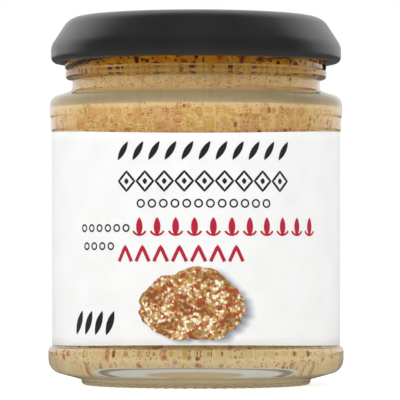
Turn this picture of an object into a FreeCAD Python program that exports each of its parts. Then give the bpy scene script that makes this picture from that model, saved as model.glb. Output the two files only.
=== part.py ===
import FreeCAD, Part
import math
import os

# A small glass jar of wholegrain mustard, shut with a black twist-off cap.
# Millimetres. The jar stands on its bearing ring at Z = 0, with its axis on Z.
# The front of the label faces -Y.

os.makedirs("parts", exist_ok=True)

V = FreeCAD.Vector
AXIS = V(0, 0, 1)
ORIGIN = V(0, 0, 0)
FULL_TURN = 360.0
SHORTEST_EDGE = 1e-6         # two arcs that meet closer than this need no line between them

# ---------------------------------------------------------------- glass, outside
FINISH_R = 29.0              # wall of the mouth that the cap closes on
NECK_RELIEF = 0.70           # plain neck, in from the mouth's wall
SHOULDER_STEP = 4.55         # label panel, out from the plain neck
SHOULDER_PROUD = 0.60        # shoulder ring, out from the label panel
BAND_PROUD = 0.35            # clear band over the label, out from the label panel
HEEL_PROUD = 1.00            # heel, out from the label panel
FOOT_INSET = 6.65            # foot, in from the label panel
RING_WIDTH = 2.3             # bearing ring, in from the foot
BEAD_PROUD = 0.85            # bead under the cap, out from the mouth's wall

FOOT_HEIGHT = 1.25
HEEL_SLOPE_RISE = 2.05       # underside of the heel, from foot to heel corner
HEEL_HEIGHT = 5.25
EDGE_STEP = 0.35             # height of each small step beside the label panel
PANEL_HEIGHT = 48.85         # label panel
BAND_HEIGHT = 2.8            # clear band over the label
SHOULDER_HEIGHT = 4.25       # shoulder ring
SHOULDER_RISE = 1.55         # slope from the shoulder ring in to the neck
NECK_HEIGHT = 2.5            # plain neck
BEAD_HEIGHT = 2.4
FINISH_HEIGHT = 11.8         # bead to rim

FOOT_ROUND = 1.2
HEEL_ROUND = 3.4
HEEL_TOP_ROUND = 1.3
STEP_ROUND = 0.3
SHOULDER_ROUND = 2.2
NECK_ROUND = 1.5
BEAD_ROUND = 0.7
RIM_ROUND = 2.2              # outer corner of the mouth's rim
MOUTH_ROUND = 1.0            # inner corner of the rim

# ---------------------------------------------------------------- glass, inside
BODY_WALL = 2.90             # at the label panel
NECK_WALL = 2.73             # at the plain neck
FLOOR_THICKNESS = 4.8        # table to the jar's floor, at the wall
PUNT_RISE = 1.9              # underside of the base, above the table
FLOOR_CROWN = 1.1            # jar's floor, higher in its middle
SHOULDER_WALL = 2.7          # down through the shoulder's slope
FLOOR_ROUND = 3.4
INNER_SHOULDER_ROUND = 1.6
INNER_NECK_ROUND = 1.4
PUNT_WIDTH_R = 16.0          # flat middle of the underside
PUNT_ROUND = 8.0
RING_ROUND = 0.5

# ---------------------------------------------------------------- glass threads
THREAD_STARTS = 4
THREAD_R = 1.1               # half-round section
THREAD_PROUD = 1.15          # crest, out from the mouth's wall
THREAD_SWEEP = 80.0          # degrees each thread covers
THREAD_RISE = 3.9            # climb over that sweep
THREAD_ABOVE_BEAD = 0.75     # lower end's middle, over the bead
THREAD_PHASE = 186.0         # azimuth where one thread starts

# ---------------------------------------------------------------- cap
PLATE = 0.25                 # lacquered steel
CURL_R = 1.4                 # rolled edge
CURL_CLEARANCE = 0.25        # thread crest to rolled edge
CAP_BEAD_GAP = 1.5           # bead to the cap's lower edge
CAP_SKIRT_HEIGHT = 3.85      # lower edge to the slanting shoulder
CAP_TOP_INSET = 0.1          # top's corner, in from the wall of the mouth
CAP_TOP_ROUND = 3.7
CAP_SKIRT_ROUND = 3.5
CHANNEL_WIDTH = 4.2          # raised ring over the jar's rim
PANEL_DROP = 0.7             # middle of the top, below the ring
PANEL_SLOPE = 1.2            # run of the step between them
BUTTON_R = 8.5               # safety button
BUTTON_RISE = 0.35
BUTTON_SLOPE = 1.4
PRESS_ROUND = 0.8            # pressed bends of the top
LUG_SWEEP = 9.0              # degrees each lug covers
LUG_AT = 70.0                # degrees from a thread's lower end to its lug
LUG_UNDER_THREAD = 0.45      # lug tip, in from the thread's crest
LUG_HEIGHT = 1.2

# ---------------------------------------------------------------- mustard
FILL_CLEARANCE = 0.03        # glass to mustard
FILL_BELOW_RIM = 8.5         # headspace
FILL_EDGE_ROUND = 0.8

# ---------------------------------------------------------------- label
LABEL_THICKNESS = 0.12
LABEL_GLUE = 0.02
LABEL_GAP = 9.0              # bare glass between its two ends, at the back
LABEL_MARGIN_TOP = 1.3       # panel's top step to the label's front edge
LABEL_MARGIN_BOTTOM = 1.0    # panel's bottom step to the label's front edge
LABEL_BOW_TOP = 1.15          # edge bows outwards at the sides by this much
LABEL_BOW_BOTTOM = 0.75

# ---------------------------------------------------------------- worked-out sizes
NECK_R = FINISH_R - NECK_RELIEF
PANEL_R = NECK_R + SHOULDER_STEP
SHOULDER_R = PANEL_R + SHOULDER_PROUD
BAND_R = PANEL_R + BAND_PROUD
HEEL_R = PANEL_R + HEEL_PROUD
FOOT_R = PANEL_R - FOOT_INSET
BEAD_R = FINISH_R + BEAD_PROUD
CREST_R = FINISH_R + THREAD_PROUD
CAVITY_R = PANEL_R - BODY_WALL
BORE_R = NECK_R - NECK_WALL

HEEL_CORNER_Z = FOOT_HEIGHT + HEEL_SLOPE_RISE
HEEL_TOP_Z = HEEL_CORNER_Z + HEEL_HEIGHT
PANEL_Z0 = HEEL_TOP_Z + EDGE_STEP
PANEL_Z1 = PANEL_Z0 + PANEL_HEIGHT
BAND_Z0 = PANEL_Z1 + EDGE_STEP
BAND_Z1 = BAND_Z0 + BAND_HEIGHT
SHOULDER_Z0 = BAND_Z1 + EDGE_STEP
SHOULDER_Z1 = SHOULDER_Z0 + SHOULDER_HEIGHT
NECK_Z0 = SHOULDER_Z1 + SHOULDER_RISE
NECK_Z1 = NECK_Z0 + NECK_HEIGHT
BEAD_Z1 = NECK_Z1 + BEAD_HEIGHT
RIM_Z = BEAD_Z1 + FINISH_HEIGHT

CAP_TOP_Z = RIM_Z + PLATE
CAP_BOTTOM_Z = BEAD_Z1 + CAP_BEAD_GAP
CAP_R = CREST_R + CURL_CLEARANCE + 2 * CURL_R
CAP_TOP_R = FINISH_R - CAP_TOP_INSET
CURL_CENTRE_R = CAP_R - CURL_R
CURL_Z = CAP_BOTTOM_Z + CURL_R
FILL_Z = RIM_Z - FILL_BELOW_RIM


def unit(a, b):
    """Direction from corner a to corner b in the half plane."""
    length = math.hypot(b[0] - a[0], b[1] - a[1])
    return ((b[0] - a[0]) / length, (b[1] - a[1]) / length)


def point(r, z):
    """A point of the half plane, as a vector of the XZ plane."""
    return V(r, 0, z)


def rounded_edges(corners):
    """Lines and tangent arcs of a closed outline of (radius, height, rounding) corners."""
    count = len(corners)
    starts = []
    ends = []
    arcs = []
    for i, (r, z, rounding) in enumerate(corners):
        if rounding == 0:
            starts.append(point(r, z))
            ends.append(point(r, z))
            arcs.append(None)
            continue
        back = unit((r, z), corners[i - 1])
        ahead = unit((r, z), corners[(i + 1) % count])
        cosine = back[0] * ahead[0] + back[1] * ahead[1]
        half = math.acos(max(-1.0, min(1.0, cosine))) / 2
        reach = rounding / math.tan(half)
        first = point(r + back[0] * reach, z + back[1] * reach)
        last = point(r + ahead[0] * reach, z + ahead[1] * reach)
        bisector = unit((0, 0), (back[0] + ahead[0], back[1] + ahead[1]))
        depth = rounding / math.sin(half) - rounding
        middle = point(r + bisector[0] * depth, z + bisector[1] * depth)
        starts.append(first)
        ends.append(last)
        arcs.append(Part.Arc(first, middle, last).toShape())
    edges = []
    for i in range(count):
        if arcs[i]:
            edges.append(arcs[i])
        here = ends[i]
        there = starts[(i + 1) % count]
        if here.distanceToPoint(there) > SHORTEST_EDGE:
            edges.append(Part.LineSegment(here, there).toShape())
    return edges


def turned(corners, sweep=FULL_TURN):
    """Solid made by turning a closed outline of rounded corners about the axis."""
    wire = Part.Wire(Part.__sortEdges__(rounded_edges(corners)))
    return Part.Face(wire).revolve(ORIGIN, AXIS, sweep)


def turned_by_azimuth(shape, azimuth):
    """A copy of the shape, turned about the jar's axis."""
    copy = shape.copy()
    copy.rotate(ORIGIN, AXIS, azimuth)
    return copy


def cavity_corners(clearance, top_z, top_rounding):
    """Outline of the jar's inside up to top_z, drawn in by a clearance."""
    cavity_r = CAVITY_R - clearance
    bore_r = BORE_R - clearance
    floor_z = FLOOR_THICKNESS + clearance
    slope = SHOULDER_RISE / (SHOULDER_R - NECK_R)
    outer_at_cavity = NECK_Z0 - (CAVITY_R - NECK_R) * slope
    outer_at_bore = NECK_Z0 + (NECK_R - BORE_R) * slope
    return [
        (0, floor_z + FLOOR_CROWN, 0),
        (cavity_r, floor_z, FLOOR_ROUND - clearance),
        (cavity_r, outer_at_cavity - SHOULDER_WALL - clearance, INNER_SHOULDER_ROUND - clearance),
        (bore_r, outer_at_bore - SHOULDER_WALL - clearance, INNER_NECK_ROUND + clearance),
        (bore_r, top_z, top_rounding),
        (0, top_z, 0),
    ]


def glass_outside():
    """The jar's outside as a full solid."""
    return turned([
        (0, PUNT_RISE, 0),
        (PUNT_WIDTH_R, PUNT_RISE, PUNT_ROUND),
        (FOOT_R - RING_WIDTH, 0, RING_ROUND),
        (FOOT_R, 0, FOOT_ROUND - STEP_ROUND),
        (FOOT_R, FOOT_HEIGHT, STEP_ROUND),
        (HEEL_R, HEEL_CORNER_Z, HEEL_ROUND),
        (HEEL_R, HEEL_TOP_Z, HEEL_TOP_ROUND),
        (PANEL_R, PANEL_Z0, STEP_ROUND),
        (PANEL_R, PANEL_Z1, STEP_ROUND),
        (BAND_R, BAND_Z0, STEP_ROUND),
        (BAND_R, BAND_Z1, STEP_ROUND),
        (SHOULDER_R, SHOULDER_Z0, STEP_ROUND),
        (SHOULDER_R, SHOULDER_Z1, SHOULDER_ROUND),
        (NECK_R, NECK_Z0, NECK_ROUND),
        (NECK_R, NECK_Z1, STEP_ROUND),
        (BEAD_R, NECK_Z1 + EDGE_STEP, BEAD_ROUND),
        (BEAD_R, BEAD_Z1 - EDGE_STEP, BEAD_ROUND - STEP_ROUND),
        (FINISH_R, BEAD_Z1, STEP_ROUND),
        (FINISH_R, RIM_Z, RIM_ROUND),
        (0, RIM_Z, 0),
    ])


def thread_ridge():
    """One glass thread: part of a ring, tipped so that it climbs, with round ends."""
    ring_r = CREST_R - THREAD_R
    tilt = math.degrees(math.atan2(THREAD_RISE, math.radians(THREAD_SWEEP) * ring_r))
    ridge = Part.makeTorus(ring_r, THREAD_R, ORIGIN, AXIS, 0, FULL_TURN, THREAD_SWEEP)
    for azimuth in (0, THREAD_SWEEP):
        centre = V(ring_r * math.cos(math.radians(azimuth)), ring_r * math.sin(math.radians(azimuth)), 0)
        ridge = ridge.fuse(Part.makeSphere(THREAD_R, centre))
    middle = math.radians(THREAD_SWEEP / 2)
    ridge.rotate(ORIGIN, V(math.cos(middle), math.sin(middle), 0), tilt)
    ridge.translate(V(0, 0, BEAD_Z1 + THREAD_ABOVE_BEAD + THREAD_RISE / 2))
    return ridge


def glass_jar():
    """The jar: outside less cavity, with its threads."""
    jar = glass_outside()
    ridge = thread_ridge()
    for start in range(THREAD_STARTS):
        jar = jar.fuse(turned_by_azimuth(ridge, THREAD_PHASE + start * FULL_TURN / THREAD_STARTS))
    cavity = turned(cavity_corners(0, RIM_Z + MOUTH_ROUND, 0))
    mouth = turned([
        (0, RIM_Z - MOUTH_ROUND, 0),
        (BORE_R, RIM_Z - MOUTH_ROUND, 0),
        (BORE_R + MOUTH_ROUND, RIM_Z, 0),
        (0, RIM_Z, 0),
    ])
    return jar.cut(cavity.fuse(mouth)).removeSplitter()


def mustard():
    """The mustard, filling the jar into its neck."""
    return turned(cavity_corners(FILL_CLEARANCE, FILL_Z, FILL_EDGE_ROUND))


def moved_out(corners, distance):
    """The same open outline, moved to its left by a distance, roundings following."""
    moved = []
    count = len(corners)
    for i, (r, z, rounding) in enumerate(corners):
        before = unit(corners[i - 1], corners[i]) if i > 0 else None
        after = unit(corners[i], corners[i + 1]) if i + 1 < count else None
        before = before or after
        after = after or before
        normal_in = (-before[1], before[0])
        normal_out = (-after[1], after[0])
        scale = distance / (1 + normal_in[0] * normal_out[0] + normal_in[1] * normal_out[1])
        turn = before[0] * after[1] - before[1] * after[0]
        grown = rounding - distance if turn > 0 else rounding + distance
        moved.append((
            r + (normal_in[0] + normal_out[0]) * scale,
            z + (normal_in[1] + normal_out[1]) * scale,
            max(grown, 0) if rounding else 0,
        ))
    return moved


def cap_corners():
    """Underside of the cap's steel from its middle out and down to the rolled edge."""
    ring_r = CAP_TOP_R - CHANNEL_WIDTH
    panel_z = RIM_Z - PANEL_DROP
    return [
        (0, panel_z + BUTTON_RISE, 0),
        (BUTTON_R, panel_z + BUTTON_RISE, PRESS_ROUND),
        (BUTTON_R + BUTTON_SLOPE, panel_z, PRESS_ROUND),
        (ring_r - PANEL_SLOPE, panel_z, PRESS_ROUND),
        (ring_r, RIM_Z, PRESS_ROUND),
        (CAP_TOP_R - PLATE, RIM_Z, CAP_TOP_ROUND - PLATE),
        (CAP_R - PLATE, CAP_BOTTOM_Z + CAP_SKIRT_HEIGHT, CAP_SKIRT_ROUND - PLATE),
        (CAP_R - PLATE, CURL_Z, 0),
    ]


def cap_shell():
    """The pressed steel of the cap, one plate thick."""
    under = cap_corners()
    over = moved_out(under, PLATE)
    return turned(under + over[::-1])


def cap_lug():
    """One lug: the rolled edge pressed in under a thread."""
    tip_r = CREST_R - LUG_UNDER_THREAD
    lug = turned([
        (tip_r, CAP_BOTTOM_Z, STEP_ROUND),
        (CURL_CENTRE_R, CAP_BOTTOM_Z, 0),
        (CURL_CENTRE_R, CAP_BOTTOM_Z + LUG_HEIGHT, 0),
        (tip_r, CAP_BOTTOM_Z + LUG_HEIGHT, STEP_ROUND),
    ], LUG_SWEEP)
    return turned_by_azimuth(lug, LUG_AT - LUG_SWEEP / 2)


def lid():
    """The cap: shell, rolled edge and lugs."""
    cap = cap_shell().fuse(Part.makeTorus(CURL_CENTRE_R, CURL_R, V(0, 0, CURL_Z), AXIS))
    lug = cap_lug()
    for start in range(THREAD_STARTS):
        cap = cap.fuse(turned_by_azimuth(lug, THREAD_PHASE + start * FULL_TURN / THREAD_STARTS))
    return cap.removeSplitter()


def label():
    """The paper label, wrapped round the panel, its long edges bowed at the sides."""
    inner_r = PANEL_R + LABEL_GLUE
    outer_r = inner_r + LABEL_THICKNESS
    front_z0 = PANEL_Z0 + LABEL_MARGIN_BOTTOM
    front_z1 = PANEL_Z1 - LABEL_MARGIN_TOP
    tube = Part.makeCylinder(outer_r, PANEL_HEIGHT, V(0, 0, PANEL_Z0))
    tube = tube.cut(Part.makeCylinder(inner_r, PANEL_HEIGHT, V(0, 0, PANEL_Z0)))
    low_mid = V(-outer_r, 0, front_z0 - LABEL_BOW_BOTTOM)
    high_mid = V(-outer_r, 0, front_z1 + LABEL_BOW_TOP)
    edges = []
    for middle, z in ((low_mid, front_z0), (high_mid, front_z1)):
        edges.append(Part.Arc(V(-outer_r, -outer_r, z), middle, V(-outer_r, outer_r, z)).toShape())
    for y in (-outer_r, outer_r):
        edges.append(Part.LineSegment(V(-outer_r, y, front_z0), V(-outer_r, y, front_z1)).toShape())
    sheet = Part.Face(Part.Wire(Part.__sortEdges__(edges))).extrude(V(2 * outer_r, 0, 0))
    gap = Part.makeBox(LABEL_GAP, outer_r, PANEL_HEIGHT, V(-LABEL_GAP / 2, 0, PANEL_Z0))
    return tube.common(sheet).cut(gap)


for name, shape in (
    ("glass_jar", glass_jar()),
    ("mustard", mustard()),
    ("lid", lid()),
    ("label", label()),
):
    shape.exportStep(os.path.join("parts", name + ".step"))
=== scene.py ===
"""Looks of a jar of wholegrain mustard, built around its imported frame.

Every piece stands where the frame says. Lengths in the classes are millimetres and
become metres when a mesh is made.
"""

import logging
import math
from collections.abc import Callable, Iterator, Sequence
from contextlib import contextmanager
from dataclasses import dataclass
from enum import Enum
from functools import partial

import bmesh
import bpy
import numpy as np
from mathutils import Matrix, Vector

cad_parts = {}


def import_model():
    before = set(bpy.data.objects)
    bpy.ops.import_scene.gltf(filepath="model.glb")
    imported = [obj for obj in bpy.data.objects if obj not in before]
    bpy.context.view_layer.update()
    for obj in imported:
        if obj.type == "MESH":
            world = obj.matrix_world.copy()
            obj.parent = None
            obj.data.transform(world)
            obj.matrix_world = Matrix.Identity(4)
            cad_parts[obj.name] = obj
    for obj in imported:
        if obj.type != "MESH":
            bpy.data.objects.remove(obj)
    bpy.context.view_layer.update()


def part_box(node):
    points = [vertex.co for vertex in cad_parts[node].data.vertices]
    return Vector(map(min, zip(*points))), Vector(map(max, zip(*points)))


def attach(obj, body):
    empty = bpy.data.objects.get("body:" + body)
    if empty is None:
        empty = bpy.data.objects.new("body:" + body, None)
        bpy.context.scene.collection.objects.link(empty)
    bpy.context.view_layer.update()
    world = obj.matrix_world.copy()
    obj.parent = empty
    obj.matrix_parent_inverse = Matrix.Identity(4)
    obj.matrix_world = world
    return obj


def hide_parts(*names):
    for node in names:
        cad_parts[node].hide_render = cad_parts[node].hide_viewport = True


MM = 0.001
TURN = 2 * math.pi
SAME_PLACE = 1e-7
BODY = "root"
RICH_Z = (70.7, 71.3)  # where the mustard turns richer, under the cap

Corner = tuple[float, float, float]
Outline = list[tuple[float, float]]
Colour = tuple[float, float, float]
Field = np.ndarray
Shaper = Callable[[Field, Field, Field], tuple[Field, Field]]
Piece = bpy.types.Object
Socket = bpy.types.NodeSocket
Material = bpy.types.Material
Value = Socket | float | Colour

log = logging.getLogger("mustard_jar")


# ------------------------------------------------------------------ outlines and meshes


def rounded_outline(corners: Sequence[Corner], arc_step: float = 9.0) -> Outline:
    """Follow corners with tangent arcs at those that have a rounding.

    Args:
        corners: (radius, height, rounding) of each corner, in order.
        arc_step: largest turn between two points of an arc, in degrees.

    Returns:
        The outline's points as (radius, height).
    """
    points: Outline = []
    last = len(corners) - 1
    for i, (r, z, rounding) in enumerate(corners):
        if rounding == 0 or i in (0, last):
            points.append((r, z))
            continue
        here = Vector((r, z))
        back = (Vector(corners[i - 1][:2]) - here).normalized()
        ahead = (Vector(corners[i + 1][:2]) - here).normalized()
        half = back.angle(ahead) / 2
        reach = rounding / math.tan(half)
        centre = here + (back + ahead).normalized() * (rounding / math.sin(half))
        start = here + back * reach - centre
        end = here + ahead * reach - centre
        turn = start.angle_signed(end)
        steps = max(2, math.ceil(math.degrees(abs(turn)) / arc_step))
        for k in range(steps + 1):
            angle = -turn * k / steps
            cos, sin = math.cos(angle), math.sin(angle)
            points.append((
                centre.x + start.x * cos - start.y * sin,
                centre.y + start.x * sin + start.y * cos,
            ))
    return points


def densified(outline: Outline, longest: Callable[[float, float], float]) -> Outline:
    """Split an outline's long runs.

    Args:
        outline: points as (radius, height).
        longest: gives the longest run allowed near a (radius, height).

    Returns:
        The outline with more points on its long runs.
    """
    dense: Outline = [outline[0]]
    for (r0, z0), (r1, z1) in zip(outline, outline[1:]):
        length = math.hypot(r1 - r0, z1 - z0)
        if length < 1e-6:
            continue
        limit = min(longest(r0, z0), longest(r1, z1), longest((r0 + r1) / 2, (z0 + z1) / 2))
        parts = max(1, math.ceil(length / limit))
        dense += [(r0 + (r1 - r0) * k / parts, z0 + (z1 - z0) * k / parts) for k in range(1, parts + 1)]
    return dense


def linked(name: str, data: bpy.types.ID) -> Piece:
    """Put a mesh, lamp or camera into the scene as an object."""
    made = bpy.data.objects.new(name, data)
    bpy.context.scene.collection.objects.link(made)
    return made


def mesh_object(name: str, vertices: Field, faces: Sequence[Sequence[int]]) -> Piece:
    """Make a smooth-shaded object at the origin.

    Args:
        name: the piece's name.
        vertices: positions in millimetres, one row each.
        faces: vertex numbers of each face.

    Returns:
        The new object, linked to the scene.
    """
    mesh = bpy.data.meshes.new(name)
    mesh.from_pydata((np.asarray(vertices) * MM).tolist(), [], faces)
    mesh.validate()
    mesh.shade_smooth()
    return linked(name, mesh)


def ring_faces(rings: int, sides: int) -> list[tuple[int, ...]]:
    """Faces between one ring of points and the next, each ring closed on itself."""
    faces = []
    for i in range(rings - 1):
        for k in range(sides):
            after = (k + 1) % sides
            faces.append((i * sides + k, i * sides + after, (i + 1) * sides + after, (i + 1) * sides + k))
    return faces


@contextmanager
def opened(mesh: bpy.types.Mesh) -> Iterator[bmesh.types.BMesh]:
    """Open a mesh for editing and write it back."""
    bm = bmesh.new()
    bm.from_mesh(mesh)
    yield bm
    bm.to_mesh(mesh)
    bm.free()


def merged(piece: Piece, outward: bool = True) -> Piece:
    """Merge a piece's doubles and, unless told otherwise, turn its faces outwards."""
    with opened(piece.data) as bm:
        bmesh.ops.remove_doubles(bm, verts=bm.verts, dist=SAME_PLACE)
        if outward:
            bmesh.ops.recalc_face_normals(bm, faces=bm.faces)
    return piece


def evaluated(piece: Piece) -> bpy.types.Mesh:
    """Mesh of a piece with its modifiers worked out."""
    return bpy.data.meshes.new_from_object(piece.evaluated_get(bpy.context.evaluated_depsgraph_get()))


def positions(piece: Piece) -> Field:
    """Positions of a piece's vertices in metres, one row each."""
    points = np.zeros(len(piece.data.vertices) * 3)
    piece.data.vertices.foreach_get("co", points)
    return points.reshape(-1, 3)


def note(piece: Piece, name: str, values: Sequence[float]) -> None:
    """Store a number for each vertex under a name."""
    layer = piece.data.attributes.new(name, "FLOAT", "POINT")
    layer.data.foreach_set("value", np.asarray(values, dtype=np.float32))


def turned(name: str, outline: Outline, steps: int, shaper: Shaper) -> Piece:
    """Turn an outline about the jar's axis.

    Args:
        name: the piece's name.
        outline: points as (radius, height); an end on the axis becomes a pole.
        steps: sides of the turned shape.
        shaper: changes (radius, height) given (azimuth, radius, height), all as arrays.

    Returns:
        The turned piece, with its faces outwards.
    """
    rings = np.array(outline)
    theta, r = np.meshgrid(np.arange(steps) * (TURN / steps), rings[:, 0])
    r, z = shaper(theta, r, np.repeat(rings[:, 1:2], steps, axis=1))
    vertices = np.stack((r * np.cos(theta), r * np.sin(theta), z), axis=-1).reshape(-1, 3)
    return merged(mesh_object(name, vertices, ring_faces(len(rings), steps)))


def smooth_step(x: Field, low: float, high: float) -> Field:
    """Ramp from 0 at low to 1 at high, level at both ends."""
    t = np.clip((x - low) / (high - low), 0, 1)
    return t * t * (3 - 2 * t)


def angle_apart(theta: Field, azimuth: float) -> Field:
    """Signed angle from an azimuth, in radians, between minus and plus half a turn."""
    return (theta - azimuth + math.pi) % (TURN) - math.pi


def waves(theta: Field, z: Field, seed: int, count: int = 7) -> Field:
    """Slow unevenness over a turned surface, about -1 to 1, the same on each run."""
    rng = np.random.default_rng(seed)
    total = np.zeros_like(theta)
    for _ in range(count):
        turns = int(rng.integers(2, 9))
        total += np.sin(turns * theta + z * rng.uniform(-0.25, 0.25) + rng.uniform(0, TURN))
    return total / math.sqrt(count * 2)


def linear(red: int, green: int, blue: int) -> Colour:
    """Linear colour of a screen colour given from 0 to 255."""
    channels = [c / 255 for c in (red, green, blue)]
    red_l, green_l, blue_l = (c / 12.92 if c <= 0.04045 else ((c + 0.055) / 1.055) ** 2.4 for c in channels)
    return red_l, green_l, blue_l


# ------------------------------------------------------------------ sizes


@dataclass(frozen=True)
class JarSizes:
    """Main sizes read from the frame, and the small ones that go with them."""

    heel_r: float
    rim_z: float
    cap_r: float
    cap_bottom_z: float
    cap_top_z: float
    cavity_r: float
    fill_z: float
    label_r: float
    heel_proud: float = 1.00
    neck_in: float = 4.55
    neck_relief: float = 0.70
    neck_wall: float = 2.73
    bead_proud: float = 0.85
    band_proud: float = 0.35
    shoulder_proud: float = 0.60
    foot_inset: float = 6.65
    step: float = 0.35
    finish_height: float = 11.8
    bead_height: float = 2.4
    neck_height: float = 2.5
    shoulder_rise: float = 1.55
    shoulder_height: float = 4.25
    band_height: float = 2.8
    panel_height: float = 48.85
    heel_height: float = 5.25
    heel_slope_rise: float = 2.05

    @classmethod
    def from_frame(cls) -> "JarSizes":
        """Read the jar's main sizes from the CAD nodes' boxes."""
        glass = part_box("glass_jar")[1] / MM
        cap_low, cap_high = (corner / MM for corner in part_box("lid"))
        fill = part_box("mustard")[1] / MM
        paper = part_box("label")[1] / MM
        return cls(
            heel_r=glass.x,
            rim_z=glass.z,
            cap_r=cap_high.x,
            cap_bottom_z=cap_low.z,
            cap_top_z=cap_high.z,
            cavity_r=fill.x,
            fill_z=fill.z,
            label_r=paper.x,
        )

    @property
    def panel_r(self) -> float:
        """Radius of the recessed label panel."""
        return self.heel_r - self.heel_proud

    @property
    def shoulder_r(self) -> float:
        """Radius of the shoulder ring."""
        return self.panel_r + self.shoulder_proud

    @property
    def neck_r(self) -> float:
        """Radius of the plain neck."""
        return self.panel_r - self.neck_in

    @property
    def finish_r(self) -> float:
        """Radius of the mouth's wall, which the cap closes on."""
        return self.neck_r + self.neck_relief

    @property
    def bore_r(self) -> float:
        """Radius inside the neck."""
        return self.neck_r - self.neck_wall

    @property
    def bead_top(self) -> float:
        """Height of the top of the bead under the cap."""
        return self.rim_z - self.finish_height

    @property
    def neck_top(self) -> float:
        """Height where the neck meets the bead."""
        return self.bead_top - self.bead_height

    @property
    def neck_base(self) -> float:
        """Height where the shoulder's slope meets the neck."""
        return self.neck_top - self.neck_height

    @property
    def shoulder_top(self) -> float:
        """Height of the shoulder ring's top."""
        return self.neck_base - self.shoulder_rise

    @property
    def panel_top(self) -> float:
        """Height of the label panel's top step."""
        return self.shoulder_top - self.shoulder_height - self.band_height - 2 * self.step

    @property
    def panel_base(self) -> float:
        """Height of the label panel's bottom step."""
        return self.panel_top - self.panel_height


# ------------------------------------------------------------------ node trees


class Wiring:
    """A node tree being made: short calls add its nodes, set them and link them."""

    def __init__(self, tree: bpy.types.NodeTree) -> None:
        """Work on a tree."""
        self.tree = tree

    def feed(self, socket: Socket, value: object) -> None:
        """Link a socket to an input, or give the input a plain value."""
        if isinstance(value, Socket):
            self.tree.links.new(value, socket)
        elif socket.type == "RGBA":
            socket.default_value = (*value, 1.0)
        else:
            socket.default_value = value

    def node(self, kind: str, inputs: dict | None = None, **settings: object) -> bpy.types.Node:
        """Add a node.

        Args:
            kind: the node's type name.
            inputs: what each input takes, a socket to link or a plain value.
            **settings: properties of the node itself.

        Returns:
            The new node.
        """
        made = self.tree.nodes.new(kind)
        for key, value in settings.items():
            setattr(made, key, value)
        for key, value in (inputs or {}).items():
            self.feed(made.inputs[key], value)
        return made

    def math(self, operation: str, a: Value, b: Value = 0.0) -> Socket:
        """Join two numbers."""
        return self.node("ShaderNodeMath", {0: a, 1: b}, operation=operation).outputs[0]

    def spread(
        self, value: Socket, low: float, high: float, out_low: float = 0.0, out_high: float = 1.0
    ) -> Socket:
        """Map low..high to out_low..out_high with smooth ends."""
        inputs = {"Value": value, "From Min": low, "From Max": high, "To Min": out_low, "To Max": out_high}
        return self.node("ShaderNodeMapRange", inputs, interpolation_type="SMOOTHSTEP").outputs["Result"]

    def ray(self, kind: str) -> Socket:
        """1 for one kind of ray, 0 for the others."""
        return self.node("ShaderNodeLightPath").outputs[f"Is {kind} Ray"]

    def by_ray(self, kind: str, other: Value, own: Value) -> Socket:
        """One number for one kind of ray, another for the rest."""
        return self.node("ShaderNodeMix", {"Factor": self.ray(kind), "A": other, "B": own}).outputs["Result"]


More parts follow.
